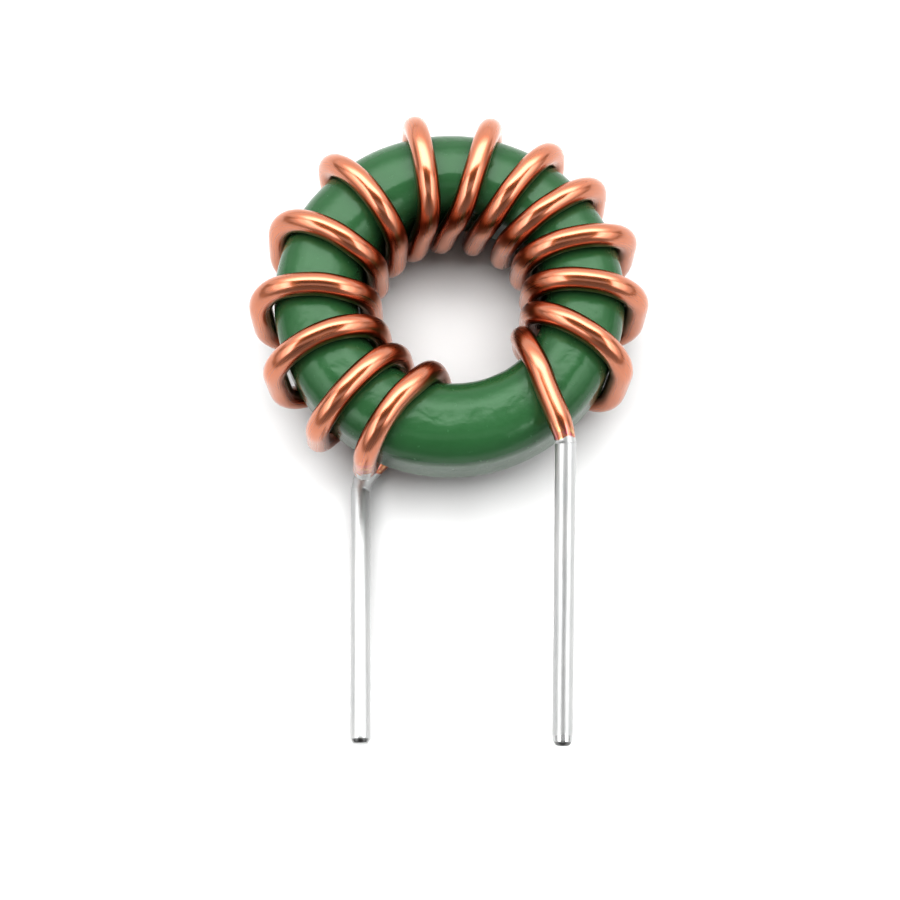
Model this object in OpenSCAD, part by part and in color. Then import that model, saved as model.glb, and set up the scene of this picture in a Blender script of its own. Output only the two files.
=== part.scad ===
// Toroidal inductor: a coated ring core wound with one thick enamelled wire.
// Fourteen passes cross the top of the ring. Both wire ends are stripped,
// tinned and bent the same way, so they stick out as two straight pins.
// The core is a turned section; the wire is swept along a computed path.

/* [Core] */
// Outer diameter of the coated ring
core_od = 17.2; // [17.1:0.05:17.3]
// Inner diameter of the coated ring
core_id = 9.3; // [9.2:0.05:9.4]
// Height of the ring along its axis
core_h = 5.0; // [4.9:0.05:5.1]
// Radius of the rounded edges of the ring section
core_edge_r = 1.6; // [1.5:0.05:1.7]

/* [Wire] */
// Diameter of the wire over its enamel
wire_d = 1.16; // [1.0:0.02:1.18]
// Clear gap between the wire and the core
wire_gap = 0.02; // [0.02:0.01:0.05]

/* [Leads] */
// Diameter of the tinned leads
lead_d = 0.98; // [0.8:0.02:1.0]
// Length of the pin that leaves the top of the ring
right_lead_len = 14.4; // [8:0.1:20]
// Length of the pin that leaves under the ring
left_lead_len = 12.9; // [8:0.1:20]
// Height of the small bevel at the cut end of each pin
tip_bevel = 0.1; // [0.05:0.05:0.2]

/* [Seat] */
// Tilt of the ring where it rests on the wire that crosses under it
seat_tilt = 4.3; // [4.0:0.1:4.6]
// Azimuth of the tilt axis
seat_dir = 155.7; // [150:0.1:160]

/* [Hidden] */

// Moves the ring frame (origin at the middle of the core) to the rest frame.
seat_shift = [0.12, 6.12, 4.2];

core_w = (core_od - core_id) / 2;   // radial width of the section
mid_r = (core_od + core_id) / 4;    // radius of the section's centre
flat_a = core_w / 2 - core_edge_r;  // half of the flat on the top face
flat_b = core_h / 2 - core_edge_r;  // half of the flat on the side face
loop_r = core_edge_r + wire_d / 2 + wire_gap;
arc_l = 90 * PI / 180 * loop_r;     // length of one rounded corner
quarter = flat_b + arc_l + flat_a;  // a quarter of one turn

wire_sides = 14;
s_step = 0.14;                      // ring spacing, in quarters of a turn
hand_n = 3;                         // rings between two hand-set points

// One row per pass over the ring, counted from the right lead: the azimuth in
// degrees at set places round the section (0 outer side, 1 top, 2 bore side,
// 3 underside; negative comes before the outer side), then the slack outside.
turns = [
  [[[1, 311.3], [1.38, 319.2], [1.54, 323.4], [2, 332.5], [2.6, 334.5]], 0],
  [[[-0.6, 330.3], [0, 333.6], [0.62, 336.6], [1, 339.7], [1.38, 343], [2, 350], [2.6, 353]], 0],
  [[[-0.6, 355], [0, 357], [0.62, 358.9], [1, 361.3], [1.38, 363.5], [2, 367], [2.6, 370.5]], 0],
  [[[-0.6, 377.3], [0, 378.2], [0.62, 378.6], [1, 381.1], [1.38, 383.8], [2, 388.5], [2.6, 391]], 0],
  [[[-0.6, 396.5], [0, 397.2], [0.62, 398.2], [1, 399.8], [1.38, 401.6], [2, 409], [2.6, 413]], 0],
  [[[-0.6, 415], [0, 415.2], [0.62, 416.6], [1, 418.2], [1.38, 420.4], [2, 430], [2.6, 436]], 0],
  [[[-0.6, 437], [0, 437.2], [0.62, 437.5], [1, 438.4], [1.38, 440.7], [2, 452.5], [2.6, 459.5]], 0],
  [[[-0.6, 462.6], [0, 461.8], [0.62, 461.5], [1, 461.7], [1.38, 463.1], [2, 472.5], [2.6, 480]], 0],
  [[[-0.6, 492], [0, 492], [0.62, 490.8], [1, 489.7], [1.38, 490.8], [2, 494], [2.6, 498.5]], 0],
  [[[-0.6, 522], [0, 519.6], [0.62, 515.7], [1, 515], [1.38, 516.8], [2, 517.5], [2.6, 518.5]], 0.05],
  [[[-0.6, 546], [0, 544.5], [0.62, 540.9], [1, 540.5], [1.38, 542.6], [2, 544], [2.6, 546]], 0.28],
  [[[-0.6, 567.5], [0, 565.5], [0.62, 563.8], [1, 562.7], [1.38, 564.5], [2, 570], [2.6, 573.5]], 0.33],
  [[[-0.6, 584], [0, 586], [0.62, 587.2], [1, 587], [1.38, 588], [2, 593], [2.6, 595]], 0.25],
  [[[-0.6, 600.5], [0, 602.8], [0.62, 604], [1, 606.2], [1.38, 612.5], [2, 621.3], [2.4, 624]], 0.05]
];

// Where each pin starts, the way it points, and the hand-bent wire up to it.
right_root = [5.36, -8, 2.9];
right_dir = [-0.007, -0.950, -0.312];
right_bend = [right_root, [5.29, -7.6, 3.02], [5.13, -7.1, 3.1], [4.92, -6.5, 3.12], [4.66, -5.8, 3.11]];
left_root = [-4.68, -8.6, -4.15];
left_dir = [0.019, -0.9985, 0.0505];
left_bend = [[-0.53, -4.52, -2.32], [-0.8, -4.8, -2.75], [-1.2, -5.1, -3.1], [-1.72, -5.45, -3.42],
  [-2.33, -5.88, -3.74], [-2.96, -6.33, -3.99], [-3.58, -6.8, -4.17], [-4.12, -7.3, -4.24],
  [-4.49, -7.86, -4.2], left_root];

function unit(v) = v / norm(v);

// Keys of all turns in one list, and smooth slopes that never overshoot.
key_s = [for (k = [0 : len(turns) - 1]) for (e = turns[k][0]) 4 * k + e[0]];
key_a = [for (t = turns) for (e = t[0]) e[1]];
key_n = len(key_s);
key_h = [for (i = [0 : key_n - 2]) key_s[i + 1] - key_s[i]];
key_d = [for (i = [0 : key_n - 2]) (key_a[i + 1] - key_a[i]) / key_h[i]];
function blend_slope(i) = let (w1 = 2 * key_h[i] + key_h[i - 1], w2 = key_h[i] + 2 * key_h[i - 1])
  (w1 + w2) / (w1 / key_d[i - 1] + w2 / key_d[i]);
key_m = [for (i = [0 : key_n - 1])
  i == 0 ? key_d[0] : i == key_n - 1 ? key_d[key_n - 2] :
  key_d[i - 1] * key_d[i] <= 0 ? 0 : blend_slope(i)];

function key_at(s, i = 0) = i < key_n - 2 && s > key_s[i + 1] ? key_at(s, i + 1) : i;
function azimuth(s) = let (i = key_at(s), h = key_h[i], t = (s - key_s[i]) / h)
  key_a[i] * (1 + 2 * t) * pow(1 - t, 2) + key_m[i] * h * t * pow(1 - t, 2)
  + key_a[i + 1] * t * t * (3 - 2 * t) + key_m[i + 1] * h * t * t * (t - 1);

// Loop round the section: [radial, axial, normal radial, normal axial].
function loop_at(d) =
  d <= flat_b ? [flat_a + loop_r, d, 1, 0] :
  d <= flat_b + arc_l ? corner(flat_a, flat_b, 90 * (d - flat_b) / arc_l) :
  d <= quarter + flat_a ? [flat_a - (d - flat_b - arc_l), flat_b + loop_r, 0, 1] :
  d <= quarter + flat_a + arc_l ? corner(-flat_a, flat_b, 90 + 90 * (d - quarter - flat_a) / arc_l) :
  d <= 2 * quarter + flat_b ? [-flat_a - loop_r, 2 * quarter - d, -1, 0] :
  d <= 2 * quarter + flat_b + arc_l ? corner(-flat_a, -flat_b, 180 + 90 * (d - 2 * quarter - flat_b) / arc_l) :
  d <= 3 * quarter + flat_a ? [d - 3 * quarter, -flat_b - loop_r, 0, -1] :
  d <= 4 * quarter - flat_b ? corner(flat_a, -flat_b, 270 + 90 * (d - 3 * quarter - flat_a) / arc_l) :
  [flat_a + loop_r, d - 4 * quarter, 1, 0];
function corner(u, z, a) = [u + loop_r * cos(a), z + loop_r * sin(a), cos(a), sin(a)];

// Point of the wound wire at place s, with the outward normal of the core.
function coil_at(s) = let (
    k = min(floor(s / 4 + 0.5), len(turns) - 1),
    q = loop_at((s - 4 * floor(s / 4)) * quarter),
    g = turns[k][1] * pow(max(q[2], 0), 2),
    r = mid_r + q[0] + g * q[2], a = azimuth(s))
  [[r * cos(a), r * sin(a), q[1] + g * q[3]], [q[2] * cos(a), q[2] * sin(a), q[3]]];

coil_n = round((key_s[key_n - 1] - key_s[0]) / s_step);
coil = [for (i = [0 : coil_n]) coil_at(key_s[0] + (key_s[key_n - 1] - key_s[0]) * i / coil_n)];

// Smooth curve through hand-set points; its first and last guide the ends.
function spline(p) = [for (i = [1 : len(p) - 3]) for (j = [0 : hand_n - 1])
  let (t = j / hand_n)
  0.5 * (2 * p[i] + (p[i + 1] - p[i - 1]) * t
  + (2 * p[i - 1] - 5 * p[i] + 4 * p[i + 1] - p[i + 2]) * t * t
  + (3 * p[i] - p[i - 1] - 3 * p[i + 1] + p[i + 2]) * t * t * t)];
lead_in = spline(concat([right_root + 0.5 * right_dir], right_bend, [coil[0][0], coil[1][0]]));
lead_out = spline(concat([coil[coil_n - 1][0], coil[coil_n][0]], left_bend, [left_root + 0.5 * left_dir]));

path = concat([for (p = lead_in) [p, [0, 0, 1]]], coil,
  [for (i = [1 : len(lead_out) - 1]) [lead_out[i], [0, 0, -1]]], [[left_root, [0, 0, -1]]]);
path_n = len(path);

function tangent(i) = i == 0 ? -unit(right_dir) : i == path_n - 1 ? unit(left_dir) :
  unit(path[i + 1][0] - path[i - 1][0]);
// The enamel is stripped off over the last millimetre before each pin.
function wire_r(i) = let (e = min(norm(path[i][0] - right_root), norm(path[i][0] - left_root)))
  lead_d / 2 + (wire_d - lead_d) / 2 * min(e / 1.1, 1);
function wire_ring(i) = let (
    t = tangent(i), h = path[i][1], n = unit(h - (h * t) * t), b = cross(t, n), r = wire_r(i))
  [for (j = [0 : wire_sides - 1]) path[i][0] + r * (cos(360 * j / wire_sides) * n + sin(360 * j / wire_sides) * b)];

module seat() translate(seat_shift) rotate(a = seat_tilt, v = [cos(seat_dir), sin(seat_dir), 0]) children();

// Round bar from a root along a direction, bevelled at its far end.
module pin(root, dir, length) {
  translate(root) rotate([0, acos(dir[2] / norm(dir)), atan2(dir[1], dir[0])]) {
    cylinder(h = length - tip_bevel, d = lead_d, $fn = 64);
    translate([0, 0, length - tip_bevel]) cylinder(h = tip_bevel, d1 = lead_d, d2 = lead_d - 2 * tip_bevel, $fn = 64);
  }
}

// Ring with a rounded rectangular section.
module core() {
  color("seagreen") seat() rotate_extrude($fn = 128) union() {
    translate([mid_r - core_w / 2, -flat_b]) square([core_w, 2 * flat_b]);
    translate([mid_r - flat_a, -core_h / 2]) square([2 * flat_a, core_h]);
    for (x = [-flat_a, flat_a], z = [-flat_b, flat_b])
      translate([mid_r + x, z]) circle(r = core_edge_r, $fn = 64);
  }
}

// The whole enamelled wire, from pin to pin, as one swept tube.
module winding() {
  color("sienna") seat() polyhedron(
    points = [for (i = [0 : path_n - 1]) each wire_ring(i)],
    faces = concat(
      [for (i = [0 : path_n - 2]) for (j = [0 : wire_sides - 1]) let (k = (j + 1) % wire_sides)
        each [[i * wire_sides + j, (i + 1) * wire_sides + j, (i + 1) * wire_sides + k],
              [i * wire_sides + j, (i + 1) * wire_sides + k, i * wire_sides + k]]],
      [[for (j = [0 : wire_sides - 1]) j]],
      [[for (j = [wire_sides - 1 : -1 : 0]) (path_n - 1) * wire_sides + j]]),
    convexity = 20);
}

// Tinned end of the wire that leaves under the ring.
module left_lead() color("silver") seat() pin(left_root, left_dir, left_lead_len);

// Tinned end of the wire that leaves over the top of the ring.
module right_lead() color("silver") seat() pin(right_root, right_dir, right_lead_len);

core();
winding();
left_lead();
right_lead();
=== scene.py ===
import math

import bpy
import numpy as np
from mathutils import Matrix, Vector, kdtree, noise


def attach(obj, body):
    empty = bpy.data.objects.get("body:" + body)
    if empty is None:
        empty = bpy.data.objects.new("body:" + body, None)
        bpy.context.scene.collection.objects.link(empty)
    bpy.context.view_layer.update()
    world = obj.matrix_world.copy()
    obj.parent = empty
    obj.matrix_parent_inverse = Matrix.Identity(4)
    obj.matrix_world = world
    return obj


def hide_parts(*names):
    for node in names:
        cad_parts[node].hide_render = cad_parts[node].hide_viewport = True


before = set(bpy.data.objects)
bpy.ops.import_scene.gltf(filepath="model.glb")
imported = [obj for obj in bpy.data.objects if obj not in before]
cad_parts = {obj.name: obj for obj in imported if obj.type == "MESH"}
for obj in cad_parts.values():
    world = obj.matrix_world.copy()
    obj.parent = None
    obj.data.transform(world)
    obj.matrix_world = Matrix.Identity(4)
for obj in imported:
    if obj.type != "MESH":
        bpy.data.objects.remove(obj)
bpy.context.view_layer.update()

MM = 0.001

# ---------------------------------------------------------------- ring frame
# Origin at the middle of the core, +Z along the ring's axis, leads towards -Y,
# millimetres. The seat turns it into the frame that the part rests in.
SEAT_TILT, SEAT_DIR = 4.3, 155.7
SEAT_SHIFT = np.array([0.12, 6.12, 4.2])

OD, ID, H, EDGE = 17.2, 9.3, 5.0, 1.6
WIRE_R, LEAD_R, GAP = 0.58, 0.49, 0.02
CORE_W = (OD - ID) / 2
MID_R = (OD + ID) / 4
LOOP_R = EDGE + WIRE_R + GAP
FLAT_A = CORE_W / 2 - EDGE
FLAT_B = H / 2 - EDGE

TURNS = [
    ([(1, 311.3), (1.38, 319.2), (1.54, 323.4), (2, 332.5), (2.6, 334.5)], 0),
    ([(-0.6, 330.3), (0, 333.6), (0.62, 336.6), (1, 339.7), (1.38, 343), (2, 350), (2.6, 353)], 0),
    ([(-0.6, 355), (0, 357), (0.62, 358.9), (1, 361.3), (1.38, 363.5), (2, 367), (2.6, 370.5)], 0),
    ([(-0.6, 377.3), (0, 378.2), (0.62, 378.6), (1, 381.1), (1.38, 383.8), (2, 388.5), (2.6, 391)], 0),
    ([(-0.6, 396.5), (0, 397.2), (0.62, 398.2), (1, 399.8), (1.38, 401.6), (2, 409), (2.6, 413)], 0),
    ([(-0.6, 415), (0, 415.2), (0.62, 416.6), (1, 418.2), (1.38, 420.4), (2, 430), (2.6, 436)], 0),
    ([(-0.6, 437), (0, 437.2), (0.62, 437.5), (1, 438.4), (1.38, 440.7), (2, 452.5), (2.6, 459.5)], 0.09),
    ([(-0.6, 463.2), (0, 462.3), (0.62, 461.6), (1, 461.7), (1.38, 463.1), (2, 472.5), (2.6, 480)], 0.18),
    ([(-0.6, 492), (0, 492), (0.62, 490.8), (1, 489.7), (1.38, 490.8), (2, 494), (2.6, 498.5)], 0.13),
    ([(-0.6, 522), (0, 519.6), (0.62, 515.7), (1, 515), (1.38, 516.8), (2, 517.5), (2.6, 518.5)], 0.1),
    ([(-0.6, 546), (0, 544.5), (0.62, 540.9), (1, 540.5), (1.38, 542.6), (2, 544), (2.6, 546)], 0.28),
    ([(-0.6, 567.5), (0, 565.5), (0.62, 563.8), (1, 562.7), (1.38, 564.5), (2, 570), (2.6, 573.5)], 0.33),
    ([(-0.6, 584), (0, 586), (0.62, 587.2), (1, 587), (1.38, 588), (2, 593), (2.6, 595)], 0.25),
    ([(-0.6, 600.5), (0, 602.8), (0.62, 604), (1, 606.2), (1.38, 612.5), (2, 621.3), (2.4, 624)], 0.05),
]
RIGHT_ROOT = np.array([5.36, -8.0, 2.9])
RIGHT_DIR = np.array([-0.007, -0.950, -0.312])
RIGHT_DIR /= np.linalg.norm(RIGHT_DIR)
LEFT_ROOT = np.array([-4.68, -8.6, -4.15])
LEFT_DIR = np.array([0.019, -0.9985, 0.0505])
LEFT_DIR /= np.linalg.norm(LEFT_DIR)
RIGHT_LEN, LEFT_LEN = 14.4, 12.9
RIGHT_BEND = [RIGHT_ROOT, (5.29, -7.6, 3.02), (5.13, -7.1, 3.1), (4.92, -6.5, 3.12), (4.66, -5.8, 3.11)]
LEFT_BEND = [(-0.53, -4.52, -2.32), (-0.8, -4.8, -2.75), (-1.2, -5.1, -3.1), (-1.72, -5.45, -3.42),
             (-2.33, -5.88, -3.74), (-2.96, -6.33, -3.99), (-3.58, -6.8, -4.17), (-4.12, -7.3, -4.24),
             (-4.49, -7.86, -4.2), LEFT_ROOT]


def rotation(angle, axis):
    a, k = math.radians(angle), np.asarray(axis, float)
    K = np.array([[0, -k[2], k[1]], [k[2], 0, -k[0]], [-k[1], k[0], 0]])
    return np.eye(3) + math.sin(a) * K + (1 - math.cos(a)) * K @ K


SEAT_ROT = rotation(SEAT_TILT, (math.cos(math.radians(SEAT_DIR)), math.sin(math.radians(SEAT_DIR)), 0))


def seat(p):
    """Ring-frame millimetres to metres in the frame the part rests in."""
    return (np.asarray(p, float) @ SEAT_ROT.T + SEAT_SHIFT) * MM


# ---------------------------------------------------------------- wire path
def corner(u, z, a):
    return u + LOOP_R * math.cos(a), z + LOOP_R * math.sin(a), math.cos(a), math.sin(a)


ARC = math.pi / 2 * LOOP_R
QUARTER = FLAT_B + ARC + FLAT_A


def loop_at(d):
    if d <= FLAT_B:
        return FLAT_A + LOOP_R, d, 1, 0
    if d <= FLAT_B + ARC:
        return corner(FLAT_A, FLAT_B, math.pi / 2 * (d - FLAT_B) / ARC)
    if d <= QUARTER + FLAT_A:
        return FLAT_A - (d - FLAT_B - ARC), FLAT_B + LOOP_R, 0, 1
    if d <= QUARTER + FLAT_A + ARC:
        return corner(-FLAT_A, FLAT_B, math.pi / 2 * (1 + (d - QUARTER - FLAT_A) / ARC))
    if d <= 2 * QUARTER + FLAT_B:
        return -FLAT_A - LOOP_R, 2 * QUARTER - d, -1, 0
    if d <= 2 * QUARTER + FLAT_B + ARC:
        return corner(-FLAT_A, -FLAT_B, math.pi / 2 * (2 + (d - 2 * QUARTER - FLAT_B) / ARC))
    if d <= 3 * QUARTER + FLAT_A:
        return d - 3 * QUARTER, -FLAT_B - LOOP_R, 0, -1
    if d <= 4 * QUARTER - FLAT_B:
        return corner(FLAT_A, -FLAT_B, math.pi / 2 * (3 + (d - 3 * QUARTER - FLAT_A) / ARC))
    return FLAT_A + LOOP_R, d - 4 * QUARTER, 1, 0


KEY_S = [4 * k + e[0] for k, t in enumerate(TURNS) for e in t[0]]
KEY_A = [e[1] for t in TURNS for e in t[0]]


def slopes(x, y):
    n = len(x)
    h = [x[i + 1] - x[i] for i in range(n - 1)]
    d = [(y[i + 1] - y[i]) / h[i] for i in range(n - 1)]
    m = [d[0]]
    for i in range(1, n - 1):
        if d[i - 1] * d[i] <= 0:
            m.append(0.0)
        else:
            w1, w2 = 2 * h[i] + h[i - 1], h[i] + 2 * h[i - 1]
            m.append((w1 + w2) / (w1 / d[i - 1] + w2 / d[i]))
    return m + [d[-1]]


KEY_M = slopes(KEY_S, KEY_A)


def azimuth(s):
    i = 0
    while i < len(KEY_S) - 2 and s > KEY_S[i + 1]:
        i += 1
    h = KEY_S[i + 1] - KEY_S[i]
    t = (s - KEY_S[i]) / h
    return (KEY_A[i] * (1 + 2 * t) * (1 - t) ** 2 + KEY_M[i] * h * t * (1 - t) ** 2
            + KEY_A[i + 1] * t * t * (3 - 2 * t) + KEY_M[i + 1] * h * t * t * (t - 1))


def coil_at(s):
    k = min(int(math.floor(s / 4 + 0.5)), len(TURNS) - 1)
    u, z, nu, nz = loop_at((s - 4 * math.floor(s / 4)) * QUARTER)
    g = TURNS[k][1] * max(nu, 0) ** 2
    r, a = MID_R + u + g * nu, math.radians(azimuth(s))
    return ((r * math.cos(a), r * math.sin(a), z + g * nz),
            (nu * math.cos(a), nu * math.sin(a), nz))


def spline(p, n):
    p = [np.asarray(q, float) for q in p]
    out = []
    for i in range(1, len(p) - 2):
        a, b, c, d = p[i - 1:i + 3]
        for j in range(n):
            t = j / n
            out.append(0.5 * (2 * b + (c - a) * t + (2 * a - 5 * b + 4 * c - d) * t * t
                              + (3 * b - a - 3 * c + d) * t ** 3))
    return out


def wire_path():
    n = 3400
    coil = [coil_at(KEY_S[0] + (KEY_S[-1] - KEY_S[0]) * i / n) for i in range(n + 1)]
    j = max(1, round(0.14 / ((KEY_S[-1] - KEY_S[0]) / n)))
    lead_in = spline([RIGHT_ROOT + 0.5 * RIGHT_DIR] + RIGHT_BEND + [coil[0][0], coil[j][0]], 12)
    lead_out = spline([coil[n - j][0], coil[n][0]] + LEFT_BEND + [LEFT_ROOT + 0.5 * LEFT_DIR], 12)
    pts = lead_in + [np.array(c[0]) for c in coil] + lead_out[1:] + [LEFT_ROOT]
    hint = ([np.array([0, 0, 1.0])] * len(lead_in) + [np.array(c[1]) for c in coil]
            + [np.array([0, 0, -1.0])] * len(lead_out))
    pts, hint = np.array(pts), np.array(hint)
    # equal spacing along the wire
    seg = np.linalg.norm(np.diff(pts, axis=0), axis=1)
    arc = np.concatenate([[0], np.cumsum(seg)])
    keep = np.concatenate([[True], seg > 1e-6])
    arc, pts, hint = arc[keep], pts[keep], hint[keep]
    m = int(arc[-1] / 0.155)
    t = np.linspace(0, arc[-1], m + 1)
    P = np.stack([np.interp(t, arc, pts[:, k]) for k in range(3)], 1)
    N = np.stack([np.interp(t, arc, hint[:, k]) for k in range(3)], 1)
    return P, N, t


def smooth(v, reach):
    k = np.hanning(2 * reach + 3)[1:-1]
    k /= k.sum()
    pad = np.concatenate([np.repeat(v[:1], reach, 0), v, np.repeat(v[-1:], reach, 0)])
    return np.stack([np.convolve(pad[:, i], k, "valid") for i in range(v.shape[1])], 1)


def sweep(P, N, R, sides, first=None, last=None):
    """Rings of vertices round a path: P points, N normals, R radius per ring (or per vertex)."""
    T = np.gradient(P, axis=0)
    if first is not None:
        T[0] = first
    if last is not None:
        T[-1] = last
    T /= np.linalg.norm(T, axis=1)[:, None]
    N = N - (N * T).sum(1)[:, None] * T
    N /= np.linalg.norm(N, axis=1)[:, None]
    B = np.cross(T, N)
    a = np.linspace(0, 2 * math.pi, sides, endpoint=False)
    R = np.asarray(R, float)
    R = R[:, None] if R.ndim == 1 else R
    ring = (np.cos(a)[None, :, None] * N[:, None] + np.sin(a)[None, :, None] * B[:, None]) * R[:, :, None]
    return P[:, None] + ring


def grid_mesh(name, V, close_ring=True, caps=True, wrap=False, uv=None):
    """Mesh from an (n, m, 3) grid in millimetres, ring frame. Rings close on themselves."""
    n, m, _ = V.shape
    verts = seat(V.reshape(-1, 3))
    faces = []
    rows = n if wrap else n - 1
    for i in range(rows):
        a, b = i * m, ((i + 1) % n) * m
        for j in range(m if close_ring else m - 1):
            k = (j + 1) % m
            faces.append((a + j, a + k, b + k, b + j))
    if caps and not wrap:
        faces.append(tuple(range(m - 1, -1, -1)))
        faces.append(tuple((n - 1) * m + j for j in range(m)))
    me = bpy.data.meshes.new(name)
    me.from_pydata([tuple(v) for v in verts], [], faces)
    if uv is not None:
        layer = me.uv_layers.new(name="along")
        U, W = uv  # per row, per column (with one extra for the seam)
        data = np.empty((len(me.loops), 2), np.float32)
        c = 0
        for i in range(rows):
            for j in range(m if close_ring else m - 1):
                data[c] = U[i], W[j]
                data[c + 1] = U[i], W[j + 1]
                data[c + 2] = U[i + 1], W[j + 1]
                data[c + 3] = U[i + 1], W[j]
                c += 4
        data[c:] = 0
        layer.data.foreach_set("uv", data.ravel())
    me.validate()
    me.update()
    me.shade_smooth()
    ob = bpy.data.objects.new(name, me)
    bpy.context.scene.collection.objects.link(ob)
    return ob


def outward(ob):
    """Turns the faces so that the closed mesh has a positive volume."""
    import bmesh
    bm = bmesh.new()
    bm.from_mesh(ob.data)
    bmesh.ops.recalc_face_normals(bm, faces=bm.faces)
    if bm.calc_volume(signed=True) < 0:
        bmesh.ops.reverse_faces(bm, faces=bm.faces)
    bm.to_mesh(ob.data)
    bm.free()
    ob.data.shade_smooth()


def wob(x, y, z, seed=0.0):
    return noise.noise(Vector((x + seed * 17.3, y - seed * 9.1, z + seed * 5.7)))


# ---------------------------------------------------------------- winding
WIRE_AT = []


def make_winding():
    P, N, t = wire_path()
    P = np.concatenate([P[:1], smooth(P, 2)[1:-1], P[-1:]])
    N = smooth(N, 4)
    # hand winding leaves the wire very slightly uneven
    n = len(P)
    bend = np.array([[wob(a * 0.11, 3.1, 0.2, 1), wob(a * 0.11, 7.9, 1.4, 2), wob(a * 0.11, 1.7, 5.2, 3)] for a in t])
    ease = np.clip(np.minimum(t, t[-1] - t) / 3.0, 0, 1)[:, None]
    P = P + 0.012 * bend * ease
    near = np.minimum(np.linalg.norm(P - RIGHT_ROOT, axis=1), np.linalg.norm(P - LEFT_ROOT, axis=1))
    near[0] = near[-1] = 0
    k = np.clip(near / 1.25, 0, 1)
    R = LEAD_R + (WIRE_R - LEAD_R) * k * k * (3 - 2 * k)
    # a ring close to each end keeps the flat cap out of the shading
    P, N, R, t = (np.concatenate([a[:1], a[:1] + (a[1:2] - a[:1]) * 0.03, a[1:-1],
                                  a[-1:] - (a[-1:] - a[-2:-1]) * 0.03, a[-1:]]) for a in (P, N, R, t))
    WIRE_AT.append(np.concatenate([P[:-1], (P[:-1] + P[1:]) / 2]))
    sides = 44
    V = sweep(P, N, R, sides, -RIGHT_DIR, LEFT_DIR)
    ob = grid_mesh("winding_wire", V, uv=(t * 0.1, np.arange(sides + 1) / sides))
    outward(ob)
    return ob


# ---------------------------------------------------------------- leads
def make_lead(name, root, direction, length, seed):
    L = [0.0, 0.005]
    while L[-1] < length - 0.34:
        L.append(min(L[-1] + 0.16, length - 0.34))
    prof = [(x, 1.0) for x in L]
    # cut end: a soft edge, a short bevel, then a faintly domed face
    for back, k in ((0.315, 0.997), (0.295, 0.987), (0.27, 0.968), (0.22, 0.918), (0.16, 0.853), (0.105, 0.792),
                    (0.085, 0.765), (0.066, 0.727), (0.052, 0.680), (0.040, 0.600), (0.024, 0.42), (0.008, 0.20)):
        prof.append((length - back, k))
    prof.append((length, 0.04))
    up = np.array([0, 0, 1.0])
    P = np.array([root + direction * x for x, _ in prof])
    sides = 48
    a = np.linspace(0, 2 * math.pi, sides, endpoint=False)
    R = np.empty((len(prof), sides))
    for i, (x, k) in enumerate(prof):
        e = min(1.0, x / 1.2)
        slow = 0.010 * wob(x * 0.22, seed, 0.4, seed) + 0.006 * wob(x * 0.9, seed, 2.4, seed)
        for j in range(sides):
            film = 0.008 * wob(x * 0.35, 1.3 * math.cos(a[j]), 1.3 * math.sin(a[j]), seed + 3)
            R[i, j] = LEAD_R * k * (1 + e * k * (slow + film) / LEAD_R)
    V = sweep(P, np.tile(up, (len(P), 1)), R, sides, direction, direction)
    ob = grid_mesh(name, V, uv=((length - np.array([p[0] for p in prof])) * 0.1, np.arange(sides + 1) / sides))
    outward(ob)
    return ob


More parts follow.
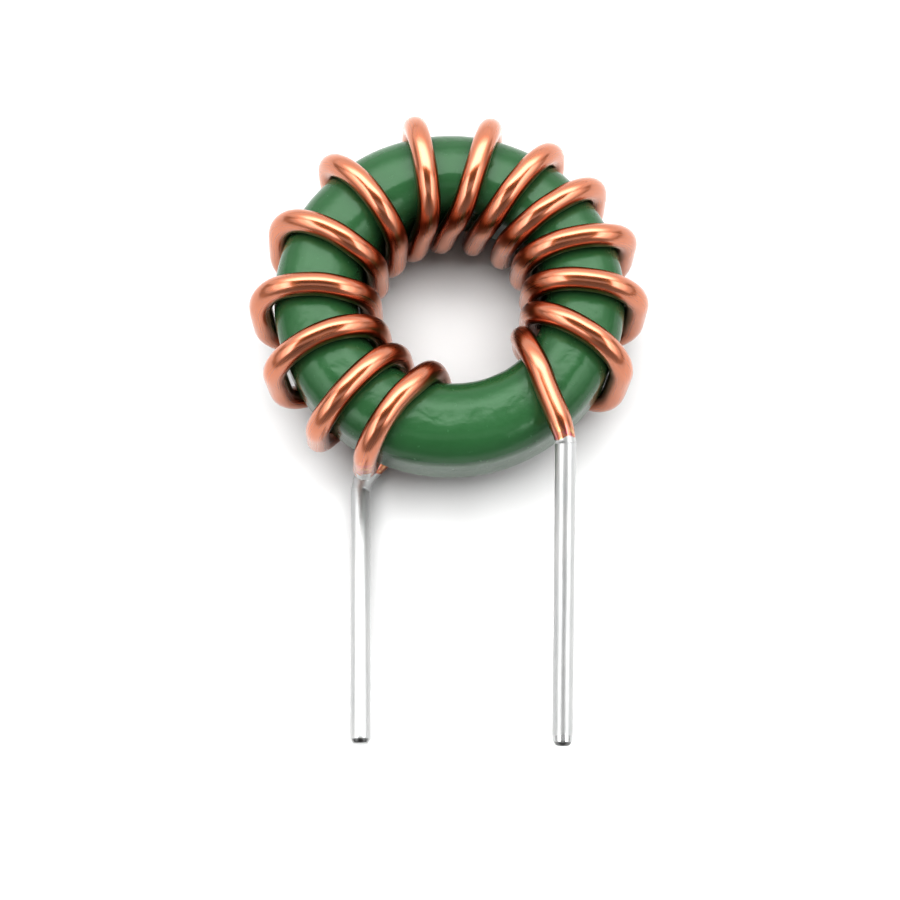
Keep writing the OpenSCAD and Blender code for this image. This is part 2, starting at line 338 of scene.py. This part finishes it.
# ---------------------------------------------------------------- core
def make_core():
    n, m = 480, 96
    # section: rounded rectangle, evenly spaced along its outline
    per = 4 * (FLAT_A + FLAT_B) + 2 * math.pi * EDGE
    out = []
    for j in range(m):
        d = per * j / m
        arc = math.pi / 2 * EDGE
        x = d % per
        if x <= FLAT_B:
            u, z, nu, nz = FLAT_A + EDGE, x, 1, 0
        else:
            x -= FLAT_B
            done = False
            for q, (cu, cz, fl, mv) in enumerate([(FLAT_A, FLAT_B, 2 * FLAT_A, (-1, 0)), (-FLAT_A, FLAT_B, 2 * FLAT_B, (0, -1)),
                                                  (-FLAT_A, -FLAT_B, 2 * FLAT_A, (1, 0)), (FLAT_A, -FLAT_B, FLAT_B, (0, 1))]):
                a0 = q * math.pi / 2
                if x <= arc:
                    a = a0 + x / EDGE
                    u, z, nu, nz = cu + EDGE * math.cos(a), cz + EDGE * math.sin(a), math.cos(a), math.sin(a)
                    done = True
                    break
                x -= arc
                a = a0 + math.pi / 2
                if x <= fl:
                    u = cu + EDGE * math.cos(a) + mv[0] * x
                    z = cz + EDGE * math.sin(a) + mv[1] * x
                    nu, nz = math.cos(a), math.sin(a)
                    done = True
                    break
                x -= fl
            if not done:
                u, z, nu, nz = FLAT_A + EDGE, 0, 1, 0
        z -= math.copysign(0.03 * (2 * u / CORE_W) ** 2, z) * min(1, abs(z) / FLAT_B) if z else 0
        out.append((u, z, nu, nz))
    V = np.empty((n, m, 3))
    for i in range(n):
        th = 2 * math.pi * i / n
        c, s = math.cos(th), math.sin(th)
        for j, (u, z, nu, nz) in enumerate(out):
            r = MID_R + u
            # the coating is thicker on one side of the ring and round the front of the bore
            w = max(nu, 0) ** 2 * (0.13 - 0.10 * c + 0.12 * max(s, 0) + 0.06 * min(s, 0))
            w += max(-nu, 0) ** 2 * 0.20 * math.exp(-((math.degrees(th) - 268) / 38) ** 2)
            # it runs in long low waves round the ring, with a finer skin on them
            w += 0.016 * wob(3.2 * c, 3.2 * s, 0.55 * u + 0.4 * z, 1)
            w += 0.008 * wob(9 * c, 9 * s, 1.6 * u + 1.1 * z, 2)
            w += 0.0025 * wob(26 * c, 26 * s, 4.0 * u + 3.0 * z, 4)
            w -= 0.012
            V[i, j] = ((r + nu * w) * c, (r + nu * w) * s, z + nz * w)
    # the wire bears on the skin and doesn't run inside it
    wire = WIRE_AT[0]
    tree = kdtree.KDTree(len(wire))
    for k, p in enumerate(wire):
        tree.insert(p, k)
    tree.balance()
    for i in range(n):
        c, s = math.cos(2 * math.pi * i / n), math.sin(2 * math.pi * i / n)
        for j, (u, z, nu, nz) in enumerate(out):
            inward = np.array([nu * c, nu * s, nz])
            for _ in range(24):
                if tree.find(V[i, j])[2] >= WIRE_R + 0.004:
                    break
                V[i, j] = V[i, j] - 0.012 * inward
    ob = grid_mesh("core_ring", V, wrap=True, caps=False)
    outward(ob)
    return ob


# ---------------------------------------------------------------- materials
def new_material(name):
    m = bpy.data.materials.new(name)
    m.use_nodes = True
    nt = m.node_tree
    nt.nodes.clear()
    out = nt.nodes.new("ShaderNodeOutputMaterial")
    bs = nt.nodes.new("ShaderNodeBsdfPrincipled")
    nt.links.new(bs.outputs[0], out.inputs[0])
    return m, nt, bs


def node(nt, kind, **props):
    n = nt.nodes.new(kind)
    for k, v in props.items():
        if k.startswith("in_"):
            n.inputs[int(k[3:])].default_value = v
        else:
            setattr(n, k, v)
    return n


def math_node(nt, op, a, b=None, clamp=False):
    n = nt.nodes.new("ShaderNodeMath")
    n.operation = op
    n.use_clamp = clamp
    for i, v in enumerate((a, b)):
        if v is None:
            continue
        if isinstance(v, (int, float)):
            n.inputs[i].default_value = v
        else:
            nt.links.new(v, n.inputs[i])
    return n.outputs[0]


def mix_color(nt, fac, a, b, mode="MIX"):
    n = nt.nodes.new("ShaderNodeMix")
    n.data_type = "RGBA"
    n.blend_type = mode
    for sock, v in ((n.inputs[0], fac), (n.inputs[6], a), (n.inputs[7], b)):
        if isinstance(v, (int, float)):
            sock.default_value = v
        elif isinstance(v, tuple):
            sock.default_value = (*v, 1) if len(v) == 3 else v
        else:
            nt.links.new(v, sock)
    return n.outputs[2]


def mix_value(nt, fac, a, b):
    n = nt.nodes.new("ShaderNodeMix")
    n.data_type = "FLOAT"
    for sock, v in ((n.inputs[0], fac), (n.inputs[2], a), (n.inputs[3], b)):
        if isinstance(v, (int, float)):
            sock.default_value = v
        else:
            nt.links.new(v, sock)
    return n.outputs[0]


def ramp(nt, fac, stops):
    n = nt.nodes.new("ShaderNodeValToRGB")
    el = n.color_ramp.elements
    while len(el) > 1:
        el.remove(el[0])
    el[0].position, el[0].color = stops[0][0], (*stops[0][1], 1) if isinstance(stops[0][1], tuple) else (stops[0][1],) * 3 + (1,)
    for p, c in stops[1:]:
        e = el.new(p)
        e.color = (*c, 1) if isinstance(c, tuple) else (c, c, c, 1)
    nt.links.new(fac, n.inputs[0])
    return n.outputs[0]


def ring_coords(nt):
    """Texture coordinates in ring-frame millimetres, fixed to the object."""
    tc = nt.nodes.new("ShaderNodeTexCoord")
    mp = nt.nodes.new("ShaderNodeMapping")
    mp.vector_type = "POINT"
    inv = SEAT_ROT.T
    e = Matrix([list(r) for r in inv]).to_euler("XYZ")
    loc = -inv @ SEAT_SHIFT
    mp.inputs[1].default_value = tuple(float(v) for v in loc)
    mp.inputs[2].default_value = (e.x, e.y, e.z)
    mp.inputs[3].default_value = (1000, 1000, 1000)
    nt.links.new(tc.outputs["Object"], mp.inputs[0])
    return mp.outputs[0]


def scaled(nt, vec, s):
    mp = nt.nodes.new("ShaderNodeMapping")
    mp.inputs[3].default_value = s if isinstance(s, tuple) else (s, s, s)
    nt.links.new(vec, mp.inputs[0])
    return mp.outputs[0]


def noise_tex(nt, vec, scale, detail=2.0, rough=0.5, distort=0.0):
    n = nt.nodes.new("ShaderNodeTexNoise")
    n.inputs["Scale"].default_value = scale
    n.inputs["Detail"].default_value = detail
    n.inputs["Roughness"].default_value = rough
    n.inputs["Distortion"].default_value = distort
    nt.links.new(vec, n.inputs["Vector"])
    return n.outputs[0]


def bump(nt, height, strength, distance, normal=None):
    n = nt.nodes.new("ShaderNodeBump")
    n.inputs["Strength"].default_value = strength
    n.inputs["Distance"].default_value = distance
    nt.links.new(height, n.inputs["Height"])
    if normal is not None:
        nt.links.new(normal, n.inputs["Normal"])
    return n.outputs[0]


def core_material():
    m, nt, bs = new_material("core_coating_green")
    v = ring_coords(nt)
    big = noise_tex(nt, scaled(nt, v, 0.35), 1.0, 3, 0.5)
    fine = noise_tex(nt, scaled(nt, v, 3.0), 1.0, 4, 0.55)
    col = mix_color(nt, big, (0.011, 0.042, 0.014), (0.015, 0.056, 0.020))
    col = mix_color(nt, math_node(nt, "MULTIPLY", fine, 0.35), col, (0.018, 0.062, 0.025))
    nt.links.new(col, bs.inputs["Base Color"])
    rough = ramp(nt, fine, [(0.3, 0.19), (0.7, 0.28)])
    nt.links.new(rough, bs.inputs["Roughness"])
    bs.inputs["IOR"].default_value = 1.46
    bs.inputs["Specular Tint"].default_value = (0.39, 0.54, 0.42, 1)
    bs.inputs["Coat Weight"].default_value = 0.32
    bs.inputs["Coat Roughness"].default_value = 0.16
    bs.inputs["Coat IOR"].default_value = 1.5
    # brushed-on skin: soft ripples a millimetre or two apart with finer peel on them
    peel = noise_tex(nt, scaled(nt, v, (0.9, 0.9, 0.5)), 1.0, 2, 0.45, 0.4)
    skin = noise_tex(nt, scaled(nt, v, 2.6), 1.0, 3, 0.5)
    nrm = bump(nt, peel, 1.0, 0.000045)
    nrm = bump(nt, skin, 1.0, 0.000006, nrm)
    nt.links.new(nrm, bs.inputs["Normal"])
    nt.links.new(nrm, bs.inputs["Coat Normal"])
    return m


def tin_nodes(nt, v):
    """Colour, roughness and height of the solder film, from ring-frame coordinates."""
    cloud = noise_tex(nt, scaled(nt, v, (1.4, 0.28, 1.4)), 1.0, 3, 0.5)
    fine = noise_tex(nt, scaled(nt, v, (5.0, 1.2, 5.0)), 1.0, 3, 0.6)
    col = ramp(nt, cloud, [(0.25, (0.52, 0.53, 0.53)), (0.75, (0.58, 0.58, 0.575))])
    rough = ramp(nt, fine, [(0.3, 0.40), (0.75, 0.50)])
    # the cut tips are smoother
    sep = nt.nodes.new("ShaderNodeSeparateXYZ")
    nt.links.new(v, sep.inputs[0])
    tip = math_node(nt, "MULTIPLY", math_node(nt, "SUBTRACT", -21.15, sep.outputs[1]), 8.0, clamp=True)
    rough = mix_value(nt, tip, rough, 0.2)
    return col, rough, fine


def tin_material():
    m, nt, bs = new_material("tinned_copper_bright")
    v = ring_coords(nt)
    col, rough, fine = tin_nodes(nt, v)
    # painted dark reflection: a dark band behind the cut tip stands in for the rounded rim reflecting dark
    # surroundings; u counts from the tip
    uv = nt.nodes.new("ShaderNodeUVMap")
    uv.uv_map = "along"
    sep = nt.nodes.new("ShaderNodeSeparateXYZ")
    nt.links.new(uv.outputs[0], sep.inputs[0])
    u = math_node(nt, "ADD", sep.outputs[0], math_node(nt, "MULTIPLY", math_node(nt, "SUBTRACT", fine, 0.5), 0.006))
    painted_dark_rim = math_node(nt, "MULTIPLY", math_node(nt, "SUBTRACT", u, 0.0085), 400.0, clamp=True)
    painted_dark_rim = math_node(nt, "MULTIPLY", painted_dark_rim, math_node(nt, "MULTIPLY", math_node(nt, "SUBTRACT", 0.0290, u), 400.0, clamp=True))
    # only on the upper side of the wire, where that painted dark reflection shows from above; v counts once round the
    # wire from its top
    turn = math_node(nt, "COSINE", math_node(nt, "MULTIPLY", sep.outputs[1], 2 * math.pi))
    painted_dark_rim = math_node(nt, "MULTIPLY", painted_dark_rim, math_node(nt, "MULTIPLY", math_node(nt, "SUBTRACT", turn, 0.30), 2.5, clamp=True))
    # painted dark reflection mixed into the tin colour
    col = mix_color(nt, math_node(nt, "MULTIPLY", painted_dark_rim, 0.85), col, (0.10, 0.10, 0.10))
    # faint dark lines along the wire: draw lines, and a painted reflection of a dark streak
    dark_lines_painted = noise_tex(nt, scaled(nt, uv.outputs[0], (0.25, 34.0, 1.0)), 1.0, 2, 0.6)
    col = mix_color(nt, ramp(nt, dark_lines_painted, [(0.60, 0.0), (0.70, 0.30)]), col, (0.30, 0.30, 0.30))
    nt.links.new(col, bs.inputs["Base Color"])
    nt.links.new(rough, bs.inputs["Roughness"])
    bs.inputs["Metallic"].default_value = 1.0
    nt.links.new(bump(nt, fine, 0.25, 0.00001), bs.inputs["Normal"])
    return m


def copper_material():
    m, nt, bs = new_material("enamelled_copper_clear")
    v = ring_coords(nt)
    uv = nt.nodes.new("ShaderNodeUVMap")
    uv.uv_map = "along"
    along = uv.outputs[0]
    streak = noise_tex(nt, scaled(nt, along, (2.0, 26.0, 1.0)), 1.0, 3, 0.6)
    cloud = noise_tex(nt, scaled(nt, v, 0.5), 1.0, 2, 0.5)
    col = mix_color(nt, cloud, (0.45, 0.118, 0.026), (0.51, 0.148, 0.036))
    col = mix_color(nt, math_node(nt, "MULTIPLY", streak, 0.5), col, (0.42, 0.094, 0.017))
    rough = ramp(nt, streak, [(0.3, 0.25), (0.7, 0.33)])
    # solder film below the dip line: it ends higher on the lead that leaves over the ring
    tcol, trough, tfine = tin_nodes(nt, v)
    sep = nt.nodes.new("ShaderNodeSeparateXYZ")
    nt.links.new(v, sep.inputs[0])
    X, Y, Z = sep.outputs
    edge = math_node(nt, "SUBTRACT", noise_tex(nt, scaled(nt, v, 1.9), 1.0, 2, 0.5), 0.5)
    right = math_node(nt, "ADD", Y, math_node(nt, "MULTIPLY", edge, 0.55))
    right = math_node(nt, "SUBTRACT", right, math_node(nt, "MULTIPLY", math_node(nt, "SUBTRACT", X, 5.36), 0.22))
    right_at = math_node(nt, "SUBTRACT", right, -7.80, clamp=True)
    right = math_node(nt, "MULTIPLY", math_node(nt, "SUBTRACT", -7.80, right), 12.0, clamp=True)
    left = math_node(nt, "ADD", math_node(nt, "MULTIPLY", Y, 0.962), math_node(nt, "MULTIPLY", Z, 0.272))
    left = math_node(nt, "ADD", left, math_node(nt, "MULTIPLY", edge, 0.6))
    left_at = math_node(nt, "SUBTRACT", left, -8.44, clamp=True)
    left = math_node(nt, "MULTIPLY", math_node(nt, "SUBTRACT", -8.44, left), 10.0, clamp=True)
    side = math_node(nt, "GREATER_THAN", X, 0.0)
    mask = mix_value(nt, side, left, right)
    # the heat of the dip has browned and spotted the enamel just above the line
    near = mix_value(nt, side, left_at, right_at)
    scorch = math_node(nt, "SUBTRACT", 1.0, math_node(nt, "MULTIPLY", near, 1.6), clamp=True)
    spots = noise_tex(nt, scaled(nt, v, 2.4), 1.0, 2, 0.5)
    plum = ramp(nt, spots, [(0.52, 0.0), (0.60, 1.0)])
    gold = ramp(nt, spots, [(0.36, 1.0), (0.44, 0.0)])
    col = mix_color(nt, math_node(nt, "MULTIPLY", scorch, plum), col, (0.42, 0.060, 0.090))
    col = mix_color(nt, math_node(nt, "MULTIPLY", scorch, gold), col, (0.62, 0.40, 0.13))
    col = mix_color(nt, mask, col, tcol)
    rough = mix_value(nt, mask, rough, trough)
    nt.links.new(col, bs.inputs["Base Color"])
    nt.links.new(rough, bs.inputs["Roughness"])
    bs.inputs["Metallic"].default_value = 1.0
    nt.links.new(mix_color(nt, mask, (0.95, 0.80, 0.71), (1.0, 1.0, 1.0)), bs.inputs["Specular Tint"])
    # the enamel is burnt off where the solder took
    nt.links.new(math_node(nt, "SUBTRACT", 1.0, mask, clamp=True), bs.inputs["Coat Weight"])
    bs.inputs["Coat Roughness"].default_value = 0.17
    bs.inputs["Coat IOR"].default_value = 2.05
    nrm = bump(nt, streak, 0.12, 0.00001)
    nt.links.new(nrm, bs.inputs["Normal"])
    # the enamel runs in faint long ripples along the wire
    ripple = noise_tex(nt, scaled(nt, along, (5.0, 8.0, 1.0)), 1.0, 2, 0.5)
    nt.links.new(bump(nt, ripple, 1.0, 0.000006), bs.inputs["Coat Normal"])
    return m


def floor_material():
    m, nt, bs = new_material("studio_floor")
    bs.inputs["Base Color"].default_value = (0.36, 0.36, 0.36, 1)
    bs.inputs["Roughness"].default_value = 0.9
    bs.inputs["IOR"].default_value = 1.3
    return m


# ---------------------------------------------------------------- camera
F_PX, SC = 1500.0, 19.86
EC = math.radians(74.2)
FW = np.array([0, math.cos(EC), -math.sin(EC)])
RT = np.array([1.0, 0, 0])
UP = np.array([0, math.sin(EC), math.cos(EC)])
d = F_PX / SC
eye = -((451.5 - 450) / F_PX * d * RT - (306 - 450) / F_PX * d * UP + d * FW)
cam_data = bpy.data.cameras.new("camera")
cam_data.sensor_width = 36
cam_data.lens = 36 * F_PX / 900
cam_data.clip_start = 0.001
cam_data.clip_end = 10
cam = bpy.data.objects.new("camera", cam_data)
bpy.context.scene.collection.objects.link(cam)
cols = [SEAT_ROT @ RT, SEAT_ROT @ UP, SEAT_ROT @ -FW]
mat = Matrix.Identity(4)
for k in range(3):
    for r in range(3):
        mat[r][k] = cols[k][r]
pos = seat(eye)
for r in range(3):
    mat[r][3] = pos[r]
cam.matrix_world = mat
bpy.context.scene.camera = cam

# ---------------------------------------------------------------- pieces
green = core_material()
copper = copper_material()
tin = tin_material()

winding = make_winding()
core = make_core()
core.data.materials.append(green)
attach(core, "root")
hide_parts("core")

winding.data.materials.append(copper)
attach(winding, "root")
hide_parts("winding")

for nm, node_name, root, direction, length, seed in (
        ("left_lead_tin", "left_lead", LEFT_ROOT, LEFT_DIR, LEFT_LEN, 5.0),
        ("right_lead_tin", "right_lead", RIGHT_ROOT, RIGHT_DIR, RIGHT_LEN, 8.0)):
    lead = make_lead(nm, root, direction, length, seed)
    lead.data.materials.append(tin)
    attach(lead, "root")
    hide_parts(node_name)

# ---------------------------------------------------------------- stage
me = bpy.data.meshes.new("floor")
S = 3.0
me.from_pydata([(-S, -S, 0), (S, -S, 0), (S, S, 0), (-S, S, 0)], [], [(0, 1, 2, 3)])
floor = bpy.data.objects.new("floor", me)
bpy.context.scene.collection.objects.link(floor)
me.materials.append(floor_material())

world = bpy.data.worlds.new("studio")
bpy.context.scene.world = world
world.use_nodes = True
wn = world.node_tree
bg = wn.nodes["Background"]
# pale walls that fade to a dim ceiling
wtc = wn.nodes.new("ShaderNodeTexCoord")
wsep = wn.nodes.new("ShaderNodeSeparateXYZ")
wn.links.new(wtc.outputs["Generated"], wsep.inputs[0])
wn.links.new(ramp(wn, wsep.outputs[2], [(0.0, 0.54), (0.30, 0.48), (0.62, 0.32), (0.86, 0.13)]), bg.inputs[0])
bg.inputs[1].default_value = 1.0


def area(name, across, along, z, centre, width, height, radiance, glossy=True):
    """Rectangular light facing the ring: three axes and a centre given in the ring frame, metres."""
    L = bpy.data.lights.new(name, "AREA")
    L.shape = "RECTANGLE"
    L.size, L.size_y = width, height
    # an area light of power P has radiance P / (pi * area)
    L.energy = radiance * math.pi * width * height
    ob = bpy.data.objects.new(name, L)
    bpy.context.scene.collection.objects.link(ob)
    x, y, z, c = (SEAT_ROT @ np.asarray(q, float) for q in (across, along, z, centre))
    ob.matrix_world = Matrix([[float(x[r]), float(y[r]), float(z[r]), float(c[r])] for r in range(3)] + [[0, 0, 0, 1]])
    ob.visible_glossy = glossy
    return ob


def panel(name, a0, a1, dist, width, radiance, glossy=True):
    """Softbox above and behind the object, between two angles behind the ring's axis."""
    mid, half = math.radians((a0 + a1) / 2), math.radians((a1 - a0) / 2)
    z = np.array([0, math.sin(mid), math.cos(mid)])
    x = np.array([1.0, 0, 0])
    area(name, x, np.cross(z, x), z, z * dist, width, 2 * dist * math.tan(half), radiance, glossy)


def flank(name, side, a0, a1, dist, y0, y1, radiance):
    """Softbox along one side, between two angles from the ring's axis towards that side."""
    mid, half = math.radians((a0 + a1) / 2), math.radians((a1 - a0) / 2)
    z = np.array([side * math.sin(mid), 0, math.cos(mid)])
    x = np.array([0, 1.0, 0])
    area(name, x, np.cross(z, x), z, z * dist + x * (y0 + y1) / 2, y1 - y0, 2 * dist * math.tan(half), radiance)


panel("softbox_back", 15, 84, 0.80, 2.8, 1.05)
panel("softbox_back_mid", 16, 52, 0.79, 1.5, 1.2)
panel("softbox_back_near", 16, 42, 0.78, 1.15, 2.15)
panel("softbox_back_core", 17, 34, 0.77, 0.66, 1.3)
panel("front_card", -36, -17, 0.80, 0.60, 0.8)
for side, nm in ((-1, "left"), (1, "right")):
    flank("softbox_" + nm, side, 30, 78, 0.80, -0.80, 0.16, 0.9)
    flank("softbox_mid_" + nm, side, 30, 62, 0.79, -0.64, 0.12, 1.4)
    flank("softbox_near_" + nm, side, 31, 46, 0.78, -0.60, 0.10, 1.8)
panel("top_fill", -14, 20, 0.70, 1.04, 11.6, glossy=False)

bpy.context.scene.view_settings.view_transform = "Standard"
bpy.context.scene.view_settings.look = "None"
bpy.context.scene.view_settings.gamma = 0.8
